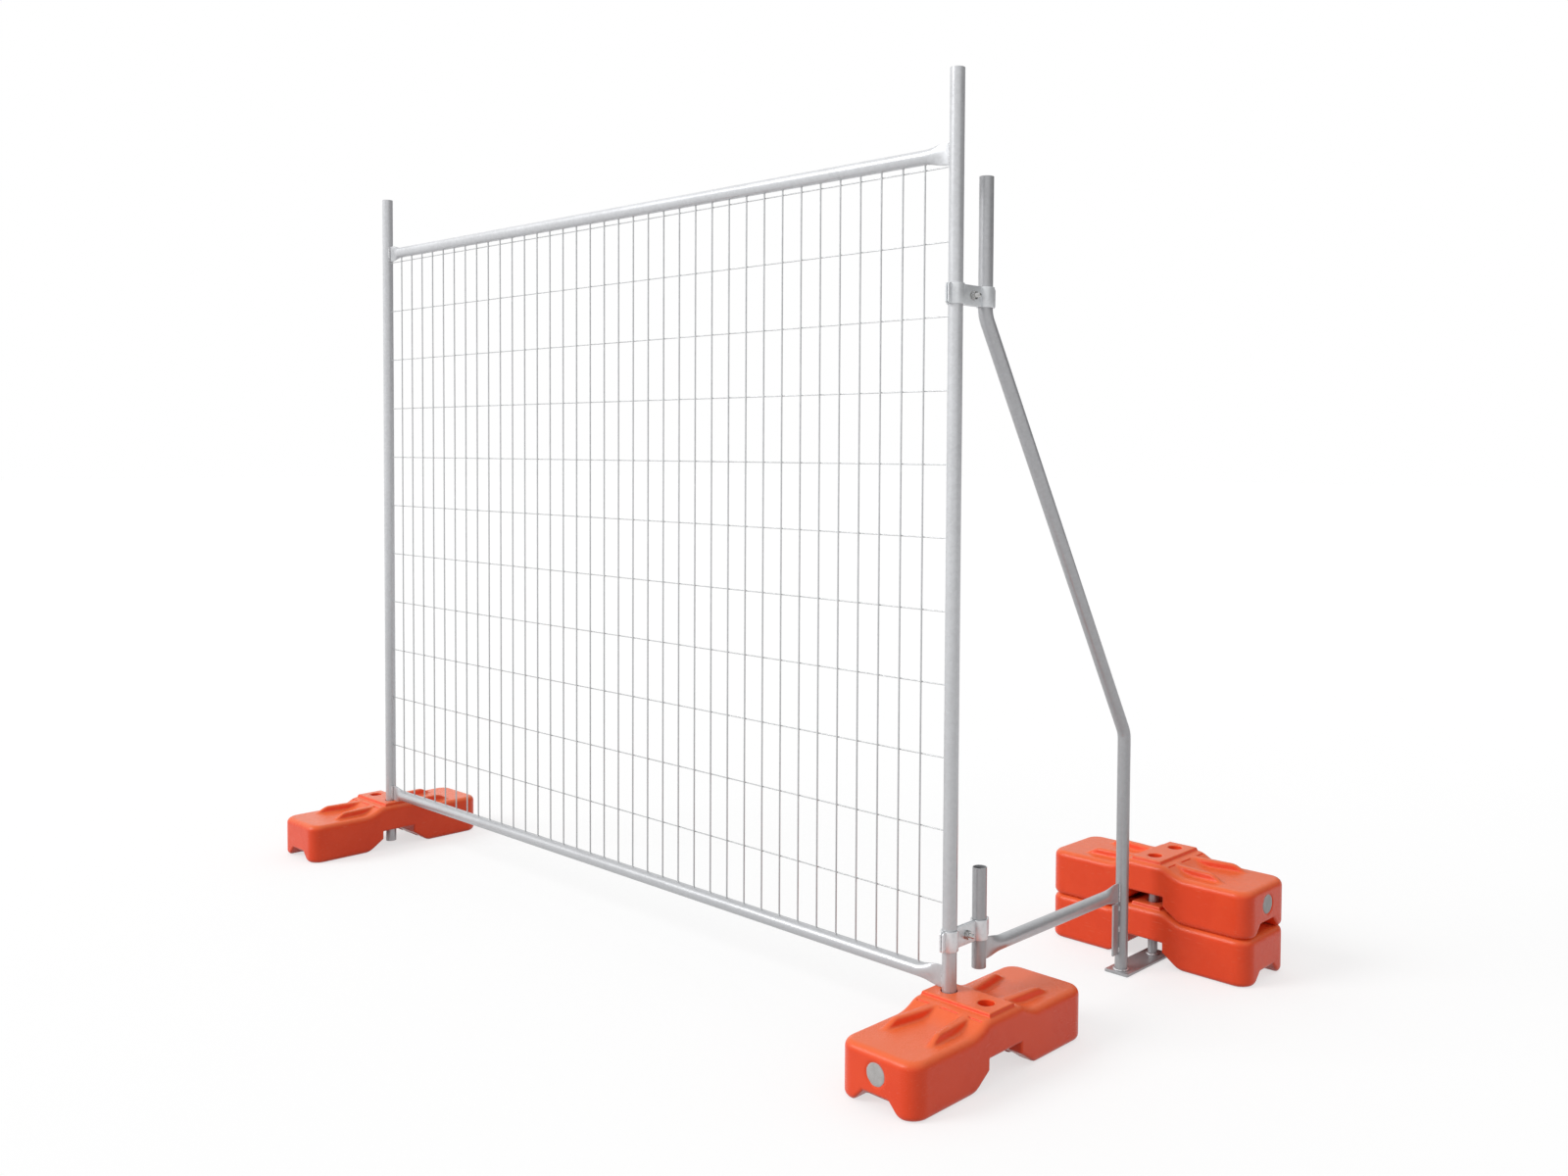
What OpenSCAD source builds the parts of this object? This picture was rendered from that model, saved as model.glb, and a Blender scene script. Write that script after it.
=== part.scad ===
// Temporary fence panel: a welded tube frame with mesh infill that stands in two
// moulded feet, with a clamped back stay held down by two stacked ballast blocks.
// Lengths are millimetres, +Z is up, and the origin lies on the ground under the
// middle of the whole outline. The panel runs along X and the stay goes back along +Y.

/* [Panel] */
// Overall width across the two posts
panel_w = 2400; // [1800:10:3000]
// Height of the post tops above the ground
panel_h = 2100; // [1800:10:2400]
// Outside diameter of the posts and of the stay tube
post_od = 32; // [28:0.5:33]
// Wall of the posts and of the stay tube
post_wall = 2; // [1.5:0.1:3]
// Height of the lower post ends above the ground
post_clear = 12; // [5:1:30]
// Drop from the post tops to the top rail's axis
top_rail_drop = 175; // [120:1:260]

/* [Rails] */
// Outside diameter of the rails
rail_od = 32; // [28:0.1:36]
// Wall of the rails
rail_wall = 1.6; // [1.2:0.1:2.2]
// Length over which a rail end goes from round to flat
flare_l = 42; // [25:1:70]
// Length of the fully flattened end
flat_l = 8; // [4:1:15]

/* [Mesh] */
// Diameter of the upright wires
upright_d = 4; // [2.5:0.1:5]
// Diameter of the cross wires
cross_d = 3; // [2:0.1:4]
// Spacing of the upright wires
upright_pitch = 62.7; // [50:0.1:100]
// Spacing of the cross wires
cross_pitch = 156.8; // [100:0.1:220]
// Clear space between the top rail and the first cross wire
cross_top_gap = 10; // [4:1:40]

/* [Moulded blocks] */
// Length of a block
block_l = 580; // [480:5:700]
// Width of a block
block_w = 209; // [180:1:240]
// Height of the low wings
wing_h = 117; // [95:1:130]
// Height of the raised middle platform
platform_h = 146; // [140:1:160]
// Wall of the moulded shell
block_wall = 4; // [3:0.5:6]
// Diameter of the post holes
hole_d = 36; // [34:0.5:42]
// Distance between the two post holes
hole_pitch = 100; // [85:1:105]
// Height of the arch under the platform
arch_h = 60; // [50:1:70]
// Diameter of the fill hole
fill_d = 48; // [30:1:52]

/* [Back stay] */
// Depth from the panel's plane to the stay's lower upright
stay_depth = 680; // [500:5:900]
// Drop from the post tops to the stay's top end
stay_top_drop = 211; // [150:1:400]
// Lean of the stay's diagonal from upright
stay_lean = 30.3; // [26:0.1:40]
// Bend radius of the stay tube at its axis
bend_r = 60; // [45:1:75]
// Height of the stay's lower rail above the ground
stay_rail_z = 205; // [195:1:215]
// Length of the short lower stub
stub_l = 222; // [200:1:260]
// Diameter of the pin that carries the ballast
pin_d = 25; // [20:0.5:32]
// Height of the pin's top above the ground
pin_top = 230; // [190:1:250]
// Distance from the stay's lower upright back to the pin
pin_setback = 150; // [125:0.1:200]
// Width of the base plate
plate_w = 67; // [50:1:90]
// Thickness of the base plate
plate_t = 8; // [5:0.5:12]

/* [Clamps] */
// Distance between the post's and the stay's axes in the clamps
clamp_pitch = 102; // [90:1:130]
// Height of a clamp jaw
clamp_h = 44; // [36:1:48]
// Sheet thickness of a clamp jaw
jaw_t = 3.5; // [2.5:0.1:4]
// Drop from the post tops to the upper clamp's middle
upper_clamp_drop = 470; // [440:1:475]
// Diameter of the clamp bolts
bolt_d = 10; // [8:0.5:12]
// Distance that a loosened jaw can open
jaw_travel = 6; // [3:0.5:9]

/* [Hidden] */
$fn = 64;
hull_fn = 32;
overrun = 5;

// Panel places
post_r = post_od / 2;
post_x = (panel_w - post_od) / 2;
seat_gap = 0.3;
flat_slot = 0.8;
flat_t = 2 * rail_wall + flat_slot;
flat_h = PI * (rail_od - rail_wall) / 2 + rail_wall;
top_rail_z = panel_h - top_rail_drop;
bottom_rail_z = platform_h + seat_gap + flat_h / 2;
mesh_edge_min = 75;
cross_low_gap = 100;
upright_count = floor((2 * post_x - 2 * mesh_edge_min) / upright_pitch) + 1;
upright_x0 = -upright_pitch * (upright_count - 1) / 2;
cross_y = (upright_d + cross_d) / 2;
cross_z0 = top_rail_z - rail_od / 2 - cross_top_gap - cross_d / 2;
cross_z_min = bottom_rail_z + rail_od / 2 + cross_low_gap;
cross_count = floor((cross_z0 - cross_z_min) / cross_pitch) + 1;
weld_r = 4;

// Block form, as half sizes from the block's middle
platform_half = 56;
slope_out = 93;
arch_half = 54;
arch_out = 106;
arch_wall_z = 36;
corner_r = 32;
top_edge_r = 16;
foot_edge_r = 9;
pad_h = 8;
pad_half = 40;
pad_side = 12;
top_lean = atan2(platform_h - pad_h - wing_h, slope_out - platform_half);
arch_lean = atan2(arch_wall_z, arch_out - arch_half);
fill_z = 72;
notch_h = 30;
notch_top_w = 68;
notch_foot_w = 126;
notch_depth = 45;

// Ribs on the wings, and the recesses that take them from below
rib_in = 58;
rib_out = 200;
rib_in_side = 44;
rib_out_side = 61;
rib_w = 29;
rib_nose_w = 15;
rib_nose_l = 32;
rib_nose_h = 3;
rib_h = 18;
rib_clear = 1.5;
recess_lead = rib_in - arch_half + 14;
rib_l = norm([rib_out - rib_in, rib_out_side - rib_in_side]);
rib_turn = atan2(rib_out_side - rib_in_side, rib_out - rib_in);
rib_mid = [(rib_in + rib_out) / 2, (rib_in_side + rib_out_side) / 2];

// Stay places
upper_clamp_z = panel_h - upper_clamp_drop;
stay_top = panel_h - stay_top_drop;
stay_bend_z = upper_clamp_z - clamp_h / 2 - bend_r * tan(stay_lean / 2);
stay_run = stay_depth - clamp_pitch;
stay_low_z = stay_bend_z - stay_run / tan(stay_lean);
bend_tangent = bend_r * tan(stay_lean / 2);
stub_below = 36;
stub_z = stay_rail_z - stub_below;
pin_wall = 3;
pin_y = stay_depth + pin_setback;
pin_play = (hole_d - pin_d) / 2 - seat_gap;
ballast_y = pin_y + pin_play + hole_pitch / 2;
plate_front = 24;
plate_back = 36;
gusset_w = 25;
gusset_t = 5;
gusset_foot_gap = 42;
gusset_top_gap = 2;
stay_flat_low = stay_rail_z - flat_h / 2;
weld_leg = 5;

// Clamp places
clamp_rail_gap = 3;
lower_clamp_z = stay_rail_z + flat_h / 2 + clamp_rail_gap + clamp_h / 2;
jaw_clear = 0.05;
jaw_bore_r = post_r + jaw_clear;
jaw_r = jaw_bore_r + jaw_t;
jaw_gap = 1.5;
jaw_lip = 9;
bolt_clear = 0.5;
thread_clear = 0.08;
nut_gap = 0.2;
washer_t = 2;
washer_share = 2;
nut_across_share = 1.7;
nut_t_share = 0.8;
head_t_share = 0.64;
washer_d = washer_share * bolt_d;
nut_across = nut_across_share * bolt_d;
nut_t = nut_t_share * bolt_d;
head_t = head_t_share * bolt_d;
hex_fn = 6;
bolt_spare = 5;
bolt_tail = jaw_travel + nut_gap + bolt_spare;
web_x = jaw_gap + jaw_t;

// Whole outline, whose middle is the origin
outline_left = -post_x - hole_pitch / 2 - block_w / 2;
outline_right = max(post_x + block_l / 2, -outline_left);
outline_front = -block_l / 2;
outline_back = ballast_y + block_w / 2;
origin_shift = [-(outline_left + outline_right) / 2, -(outline_front + outline_back) / 2, 0];

// Colours
galvanised = [0.72, 0.74, 0.76];
bright_zinc = [0.78, 0.79, 0.80];
weld_grey = [0.58, 0.59, 0.61];
orange = [0.90, 0.33, 0.20];
concrete = [0.70, 0.69, 0.68];

module place() {
    translate(origin_shift) children();
}

module tube(od, wall, length) {
    difference() {
        cylinder(d = od, h = length);
        translate([0, 0, -overrun]) cylinder(d = od - 2 * wall, h = length + 2 * overrun);
    }
}

// Posts
module post(side) {
    color(galvanised) place()
        translate([side * post_x, 0, post_clear]) tube(post_od, post_wall, panel_h - post_clear);
}

// One rail along X, centred, with both ends pressed flat and upright
module flat_end(outer_d, thick, tall) {
    slice = flat_slot / 2;
    hull() {
        translate([-flare_l - flat_l, 0, 0]) rotate([0, 90, 0]) cylinder(d = outer_d, h = slice, $fn = hull_fn);
        translate([-flat_l - slice / 2, 0, 0]) cube([slice, thick, tall], center = true);
    }
    translate([-(flat_l + slice) / 2, 0, 0]) cube([flat_l + slice, thick, tall], center = true);
}

module rail(length) {
    round_l = length - 2 * (flare_l + flat_l);
    bore_d = rail_od - 2 * rail_wall;
    bore_h = flat_h - 2 * rail_wall;
    difference() {
        union() {
            rotate([0, 90, 0]) cylinder(d = rail_od, h = round_l, center = true);
            for (s = [0, 1]) mirror([s, 0, 0]) translate([length / 2, 0, 0]) flat_end(rail_od, flat_t, flat_h);
        }
        rotate([0, 90, 0]) cylinder(d = bore_d, h = round_l + flat_slot, center = true);
        for (s = [0, 1]) mirror([s, 0, 0]) translate([length / 2, 0, 0]) {
            flat_end(bore_d, flat_slot, bore_h);
            cube([overrun, flat_slot, bore_h], center = true);
        }
    }
}

module panel_rail(z) {
    color(galvanised) place() translate([0, 0, z]) rail(2 * (post_x - post_r));
}

// Mesh wires
module upright_wires() {
    low = bottom_rail_z + rail_od / 2;
    color(bright_zinc) place()
        for (i = [0 : upright_count - 1])
            translate([upright_x0 + i * upright_pitch, 0, low])
                cylinder(d = upright_d, h = top_rail_z - rail_od / 2 - low);
}

module cross_wires() {
    reach = post_x - sqrt(post_r * post_r - (cross_y - cross_d / 2) * (cross_y - cross_d / 2));
    color(bright_zinc) place()
        for (i = [0 : cross_count - 1])
            translate([-reach, cross_y, cross_z0 - i * cross_pitch])
                rotate([0, 90, 0]) cylinder(d = cross_d, h = 2 * reach);
}

// Beads in the corners between the flattened rail ends and the posts
module frame_welds() {
    color(weld_grey) place()
        for (z = [top_rail_z, bottom_rail_z]) for (s = [0, 1]) mirror([s, 0, 0])
            translate([post_x, 0, z - flat_h / 2]) linear_extrude(flat_h)
                difference() {
                    for (f = [-1, 1]) translate([-post_r, f * flat_t / 2]) circle(r = weld_r);
                    circle(r = post_r);
                    translate([-post_r - weld_r - overrun, -flat_t / 2])
                        square([weld_r + overrun + post_r, flat_t]);
                }
}

// Moulded block along X, centred, standing on the ground. The inset moves every
// wall inwards, so the same form gives the outside and the space inside the shell.
module block_side(inset) {
    top_step = inset * tan(top_lean / 2);
    arch_step = inset * tan(arch_lean / 2);
    wall_step = inset * tan((90 - arch_lean) / 2);
    end = block_l / 2;
    right = [
        [platform_half - top_step, platform_h - pad_h - inset],
        [slope_out - top_step, wing_h - inset],
        [end - top_edge_r, wing_h - inset],
        [end - inset, wing_h - top_edge_r],
        [end - inset, foot_edge_r],
        [end - foot_edge_r, inset],
        [arch_out + arch_step, inset],
        [arch_half + inset, arch_wall_z + wall_step],
        [arch_half + inset, arch_h + inset]
    ];
    left = [for (i = [len(right) - 1 : -1 : 0]) [-right[i][0], right[i][1]]];
    polygon(concat(right, left));
    for (s = [-1, 1]) {
        translate([s * (end - top_edge_r), wing_h - top_edge_r]) circle(r = top_edge_r - inset);
        translate([s * (end - foot_edge_r), foot_edge_r]) circle(r = foot_edge_r - inset);
    }
}

module block_plan(inset) {
    square([block_l - 2 * corner_r, block_w - 2 * inset], center = true);
    square([block_l + 2 * overrun, block_w - 2 * corner_r], center = true);
    for (s = [-1, 1], f = [-1, 1])
        translate([s * (block_l / 2 - corner_r), f * (block_w / 2 - corner_r)]) circle(r = corner_r - inset);
}

// Cross section with rounded upper edges, for a stretch of the given height
module block_section(height, inset) {
    square_w = block_w - 2 * top_edge_r;
    translate([-square_w / 2, -overrun]) square([square_w, height - inset + overrun]);
    translate([-block_w / 2 - overrun, -overrun])
        square([block_w + 2 * overrun, height - top_edge_r + overrun]);
    for (f = [-1, 1])
        translate([f * (block_w / 2 - top_edge_r), height - top_edge_r]) circle(r = top_edge_r - inset);
}

module along_block(length) {
    rotate([90, 0, 90]) linear_extrude(length, center = true) children();
}

module block_form(inset) {
    intersection() {
        rotate([90, 0, 0]) linear_extrude(block_w + 2 * overrun, center = true) block_side(inset);
        translate([0, 0, -overrun]) linear_extrude(platform_h + 2 * overrun) block_plan(inset);
        union() {
            along_block(block_l + 2 * overrun) block_section(wing_h, inset);
            along_block(2 * slope_out) block_section(platform_h - pad_h, inset);
        }
    }
}

// Rib along X, centred, wide at its inner end and drawn in towards a sloping nose
module rib_plan(grow, lead) {
    inner = -rib_l / 2 - lead;
    tip = rib_l / 2 + grow;
    polygon([
        [inner, -rib_w / 2 - grow], [tip, -rib_nose_w / 2 - grow],
        [tip, rib_nose_w / 2 + grow], [inner, rib_w / 2 + grow]
    ]);
}

module rib() {
    root = -block_wall / 2;
    intersection() {
        translate([0, 0, root]) linear_extrude(rib_h - root) rib_plan(0, 0);
        rotate([90, 0, 0]) linear_extrude(2 * rib_w, center = true)
            polygon([
                [-rib_l, root], [rib_l / 2, root], [rib_l / 2, rib_nose_h],
                [rib_l / 2 - rib_nose_l, rib_h], [-rib_l, rib_h]
            ]);
    }
}

module at_ribs() {
    for (s = [0, 1], f = [0, 1]) mirror([s, 0, 0]) mirror([0, f, 0])
        translate(rib_mid) rotate(rib_turn) children();
}

// Open into the arch at its inner end
module rib_recess(grow) {
    at_ribs() translate([0, 0, -overrun])
        linear_extrude(rib_h + rib_clear + grow + overrun) rib_plan(rib_clear + grow, recess_lead);
}

module end_notch(grow) {
    foot_half = notch_foot_w / 2 + grow;
    top_half = notch_top_w / 2 + grow;
    slant = (foot_half - top_half) / notch_h;
    for (s = [-1, 1])
        translate([s * (block_l / 2 - notch_depth / 2 + overrun / 2 - grow / 2), 0, 0])
            along_block(notch_depth + overrun + grow)
                polygon([
                    [-foot_half - slant * overrun, -overrun], [foot_half + slant * overrun, -overrun],
                    [top_half, notch_h + grow], [-top_half, notch_h + grow]
                ]);
}

module post_holes(grow) {
    for (f = [-1, 1])
        translate([0, f * hole_pitch / 2, -overrun])
            cylinder(d = hole_d + 2 * grow, h = platform_h + 2 * overrun);
}

module fill_neck(length) {
    translate([-block_l / 2, 0, fill_z]) rotate([0, 90, 0]) cylinder(d = fill_d, h = length);
}

module block_cavity() {
    difference() {
        block_form(block_wall);
        post_holes(block_wall);
        end_notch(block_wall);
        rib_recess(block_wall);
    }
}

module block_shell() {
    difference() {
        union() {
            block_form(0);
            at_ribs() translate([0, 0, wing_h]) rib();
            translate([-pad_half, -block_w / 2 + pad_side, platform_h - pad_h - block_wall / 2])
                cube([2 * pad_half, block_w - 2 * pad_side, pad_h + block_wall / 2]);
        }
        block_cavity();
        post_holes(0);
        end_notch(0);
        rib_recess(0);
        translate([-overrun, 0, 0]) fill_neck(block_wall + 2 * overrun);
    }
}

module block_fill() {
    block_cavity();
    fill_neck(block_wall + overrun);
}

module foot_place(side) {
    place() translate([side * (post_x + hole_pitch / 2), 0, 0]) rotate(side > 0 ? 90 : -90) children();
}

module ballast_place(level) {
    place() translate([post_x, ballast_y, level * wing_h]) rotate(level > 0 ? 180 : 0) children();
}

// Clamps: jaws on both sides of the post and the stay, drawn round a bolt along X
module at_clamp(z) {
    place() translate([post_x, 0, z]) children();
}

module jaw_plan() {
    reach = jaw_r + jaw_lip;
    difference() {
        union() {
            for (y = [0, clamp_pitch]) translate([0, y]) circle(r = jaw_r);
            translate([0, -reach]) square([web_x, clamp_pitch + 2 * reach]);
        }
        for (y = [0, clamp_pitch]) translate([0, y]) circle(r = jaw_bore_r);
        translate([jaw_gap - 2 * reach, -2 * reach]) square([2 * reach, clamp_pitch + 4 * reach]);
    }
}

module along_bolt(x) {
    translate([x, clamp_pitch / 2, 0]) rotate([0, 90, 0]) children();
}

module jaw() {
    difference() {
        linear_extrude(clamp_h, center = true) jaw_plan();
        along_bolt(-overrun) cylinder(d = bolt_d + 2 * bolt_clear, h = web_x + 2 * overrun);
    }
}

module clamp_fixed_jaw(z) {
    color(galvanised) at_clamp(z) mirror([1, 0, 0]) jaw();
}

module clamp_loose_jaw(z) {
    color(galvanised) at_clamp(z) jaw();
}

module clamp_bolt(z) {
    shank_l = 2 * web_x + washer_t + nut_t + bolt_tail;
    color(bright_zinc) at_clamp(z) {
        along_bolt(-web_x) cylinder(d = bolt_d, h = shank_l);
        along_bolt(-web_x - head_t) cylinder(d = nut_across / cos(180 / hex_fn), h = head_t, $fn = hex_fn);
    }
}

module clamp_washer(z) {
    color(bright_zinc) at_clamp(z) along_bolt(web_x)
        difference() {
            cylinder(d = washer_d, h = washer_t);
            translate([0, 0, -overrun]) cylinder(d = bolt_d + 2 * bolt_clear, h = washer_t + 2 * overrun);
        }
}

module clamp_nut(z) {
    color(bright_zinc) at_clamp(z) along_bolt(web_x + washer_t + nut_gap)
        difference() {
            cylinder(d = nut_across / cos(180 / hex_fn), h = nut_t, $fn = hex_fn);
            translate([0, 0, -overrun]) cylinder(d = bolt_d + 2 * thread_clear, h = nut_t + 2 * overrun);
        }
}

// Stay: one bent tube in the plane of the right post, in stretches that meet at the bends
module at_stay() {
    place() translate([post_x, clamp_pitch, 0]) children();
}

// One bend in the stay's plane, from the given direction seen from its centre
module stay_bend(start) {
    color(galvanised) rotate([90, 0, 90]) rotate(start) rotate_extrude(angle = stay_lean) translate([bend_r, 0])
        difference() {
            circle(d = post_od);
            circle(d = post_od - 2 * post_wall);
        }
}

module stay_head_tube() {
    color(galvanised) at_stay() translate([0, 0, stay_bend_z + bend_tangent])
        tube(post_od, post_wall, stay_top - stay_bend_z - bend_tangent);
}

module stay_upper_bend() {
    at_stay() translate([0, bend_r, stay_bend_z + bend_tangent]) stay_bend(180);
}

module stay_diagonal_tube() {
    length = stay_run / sin(stay_lean) - 2 * bend_tangent;
    color(galvanised) at_stay() translate([0, 0, stay_bend_z]) rotate([stay_lean, 0, 0])
        translate([0, 0, -bend_tangent - length]) tube(post_od, post_wall, length);
}

module stay_lower_bend() {
    at_stay() translate([0, stay_run - bend_r, stay_low_z - bend_tangent]) stay_bend(0);
}

module stay_upright_tube() {
    color(galvanised) at_stay() translate([0, stay_run, plate_t])
        tube(post_od, post_wall, stay_low_z - bend_tangent - plate_t);
}

module stay_stub() {
    color(galvanised) at_stay() translate([0, 0, stub_z]) tube(post_od, post_wall, stub_l);
}

module stay_rail() {
    color(galvanised) at_stay() translate([0, stay_run / 2, stay_rail_z])
        rotate(90) rail(stay_run - 2 * post_r);
}

module stay_gusset() {
    low = plate_t + gusset_foot_gap;
    color(galvanised) at_stay()
        translate([-gusset_t / 2, stay_run - post_r - gusset_w, low])
            cube([gusset_t, gusset_w, stay_flat_low - gusset_top_gap - low]);
}

module base_plate() {
    color(galvanised) at_stay()
        translate([-plate_w / 2, stay_run - plate_front, 0])
            cube([plate_w, plate_front + pin_setback + plate_back, plate_t]);
}

module ballast_pin() {
    color(bright_zinc) at_stay() translate([0, stay_run + pin_setback, plate_t])
        tube(pin_d, pin_wall, pin_top - plate_t);
}

// Fillet rings at the feet of the stay's upright and of the pin, and beads at the rail's ends
module weld_ring(d) {
    rotate_extrude() polygon([[d / 2, 0], [d / 2 + weld_leg, 0], [d / 2, weld_leg]]);
}

module stay_welds() {
    color(weld_grey) at_stay() {
        translate([0, stay_run, plate_t]) weld_ring(post_od);
        translate([0, stay_run + pin_setback, plate_t]) weld_ring(pin_d);
        translate([0, 0, stay_rail_z - flat_h / 2]) linear_extrude(flat_h)
            for (y = [0, stay_run])
                difference() {
                    for (f = [-1, 1])
                        translate([f * flat_t / 2, y > 0 ? y - post_r : post_r]) circle(r = weld_r);
                    translate([0, y]) circle(r = post_r);
                    translate([-flat_t / 2, 0]) square([flat_t, stay_run]);
                }
    }
}

post(-1);  // left_post
post(1);  // right_post
panel_rail(top_rail_z);  // top_rail
panel_rail(bottom_rail_z);  // bottom_rail
upright_wires();
cross_wires();
frame_welds();
color(orange) foot_place(-1) block_shell();  // left_foot_shell
color(concrete) foot_place(-1) block_fill();  // left_foot_fill
color(orange) foot_place(1) block_shell();  // right_foot_shell
color(concrete) foot_place(1) block_fill();  // right_foot_fill
clamp_fixed_jaw(lower_clamp_z);  // lower_clamp_fixed_jaw
clamp_bolt(lower_clamp_z);  // lower_clamp_bolt
clamp_loose_jaw(lower_clamp_z);  // lower_clamp_loose_jaw
clamp_washer(lower_clamp_z);  // lower_clamp_washer
clamp_nut(lower_clamp_z);  // lower_clamp_nut
clamp_fixed_jaw(upper_clamp_z);  // upper_clamp_fixed_jaw
clamp_bolt(upper_clamp_z);  // upper_clamp_bolt
clamp_loose_jaw(upper_clamp_z);  // upper_clamp_loose_jaw
clamp_washer(upper_clamp_z);  // upper_clamp_washer
clamp_nut(upper_clamp_z);  // upper_clamp_nut
stay_head_tube();
stay_upper_bend();
stay_diagonal_tube();
stay_lower_bend();
stay_upright_tube();
stay_stub();
stay_rail();
stay_gusset();
base_plate();
ballast_pin();
stay_welds();
color(orange) ballast_place(0) block_shell();  // lower_ballast_shell
color(concrete) ballast_place(0) block_fill();  // lower_ballast_fill
color(orange) ballast_place(1) block_shell();  // upper_ballast_shell
color(concrete) ballast_place(1) block_fill();  // upper_ballast_fill
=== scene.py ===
import itertools
import math

import bmesh
import bpy
import numpy as np
from mathutils import Matrix, Vector


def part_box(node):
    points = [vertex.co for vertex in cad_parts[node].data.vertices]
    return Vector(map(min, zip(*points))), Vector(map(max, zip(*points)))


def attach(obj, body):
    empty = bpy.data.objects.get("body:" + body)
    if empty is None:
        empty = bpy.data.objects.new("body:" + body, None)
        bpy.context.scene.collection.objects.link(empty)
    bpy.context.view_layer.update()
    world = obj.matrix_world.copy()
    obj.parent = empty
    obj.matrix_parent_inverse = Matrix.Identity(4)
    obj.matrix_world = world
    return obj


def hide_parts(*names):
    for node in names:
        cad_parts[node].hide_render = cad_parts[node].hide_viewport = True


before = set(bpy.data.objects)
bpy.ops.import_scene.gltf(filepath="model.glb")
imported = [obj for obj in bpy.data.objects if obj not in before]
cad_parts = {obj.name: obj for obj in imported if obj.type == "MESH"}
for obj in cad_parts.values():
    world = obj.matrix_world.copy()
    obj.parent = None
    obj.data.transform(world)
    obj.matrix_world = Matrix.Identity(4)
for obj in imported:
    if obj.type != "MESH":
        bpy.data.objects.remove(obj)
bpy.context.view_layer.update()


# Studio
# A pale matt floor under an even white surround, which metal mirrors as dark on the side away from
# the lamp, and one large soft lamp high on the left in front of the panel.
class Shade:
    """A value in a node tree. Arithmetic on it adds Math nodes."""

    def __init__(self, tree, socket=None):
        self.tree = tree
        self.socket = socket

    def node(self, kind, settings=None, inputs=None, output=0):
        """A new node of that kind, with its settings and the values or links of its sockets."""
        made = self.tree.nodes.new(kind)
        for name, setting in (settings or {}).items():
            setattr(made, name, setting)
        for key, value in (inputs or {}).items():
            self.feed(made.inputs[key], value)
        return Shade(self.tree, made.outputs[output])

    def feed(self, socket, value):
        """Links a value to a socket, or writes a plain number, vector or colour there."""
        if isinstance(value, Shade):
            self.tree.links.new(value.socket, socket)
        else:
            socket.default_value = value

    def math(self, operation, first, second):
        return self.node("ShaderNodeMath", {"operation": operation}, {0: first, 1: second})

    def __add__(self, other):
        return self.math("ADD", self, other)

    def __sub__(self, other):
        return self.math("SUBTRACT", self, other)

    def __rsub__(self, other):
        return self.math("SUBTRACT", other, self)

    def __mul__(self, other):
        return self.math("MULTIPLY", self, other)

    __radd__ = __add__
    __rmul__ = __mul__

    def span(self, low, high, start=0.0, end=1.0):
        """Goes smoothly from start to end while this value goes from low to high."""
        return self.node(
            "ShaderNodeMapRange",
            {"interpolation_type": "SMOOTHSTEP"},
            {0: self, 1: low, 2: high, 3: start, 4: end},
        )

    def mixed(self, share, first, second):
        """A colour between two. The Mix node's colours are its inputs 6 and 7 and its output 2."""
        return self.node("ShaderNodeMix", {"data_type": "RGBA"}, {0: share, 6: first, 7: second}, 2)

    def between(self, first, second):
        """The first colour where this value is 0, and the second where it is 1."""
        return self.mixed(self, (*first, 1.0), (*second, 1.0))

    def tinted(self, share, colour):
        """This colour with a share of another one."""
        return self.mixed(share, self, (*colour, 1.0))

    def noise(self, scale, detail=3.0):
        return self.node("ShaderNodeTexNoise", {}, {"Vector": self, "Scale": scale, "Detail": detail})

    def stretched(self, x, y, z):
        return self.node("ShaderNodeVectorMath", {"operation": "MULTIPLY"}, {0: self, 1: (x, y, z)})


WHITE = (1.0, 1.0, 1.0)
BLACK = (0.0, 0.0, 0.0)
SURROUND_DARK = 0.16
SURROUND_LIGHT = 0.66
SURROUND_FADE = (-0.6, 0.05)
LAMP_SIDE = Vector((-0.45, -0.70, 0.55)).normalized()
RAY_KINDS = ("Is Camera Ray", "Is Glossy Ray", "Is Transmission Ray")

scene = bpy.context.scene
scene.view_settings.view_transform = "Standard"
scene.world = bpy.data.worlds.new("studio")
scene.world.use_nodes = True
sky = Shade(scene.world.node_tree)
looking = sky.node("ShaderNodeTexCoord", output="Generated")
towards_lamp = sky.node(
    "ShaderNodeVectorMath", {"operation": "DOT_PRODUCT"}, {0: looking, 1: LAMP_SIDE}, "Value"
)
pale = towards_lamp.span(*SURROUND_FADE, SURROUND_DARK, 1.0)


def kinds_of_ray(shade):
    """Two values: 1 for rays from the camera, and 1 for those sent on by metal, gloss and glass."""
    rays = shade.node("ShaderNodeLightPath").socket.node
    plain, glossy, clear = (Shade(shade.tree, rays.outputs[kind]) for kind in RAY_KINDS)
    return plain, (glossy + clear).span(0.0, 1.0)


plain, mirrored = kinds_of_ray(sky)
backdrop = scene.world.node_tree.nodes["Background"]
backdrop.inputs["Color"].default_value = (*WHITE, 1.0)
unseen = (1.0 - plain - mirrored) * SURROUND_LIGHT
sky.feed(backdrop.inputs["Strength"], plain + mirrored * pale + unseen)


def new_finish(name):
    """An empty material, and the place on its piece as a value to start from."""
    finish = bpy.data.materials.new(name)
    finish.use_nodes = True
    return finish, Shade(finish.node_tree).node("ShaderNodeTexCoord", output="Object")


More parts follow.
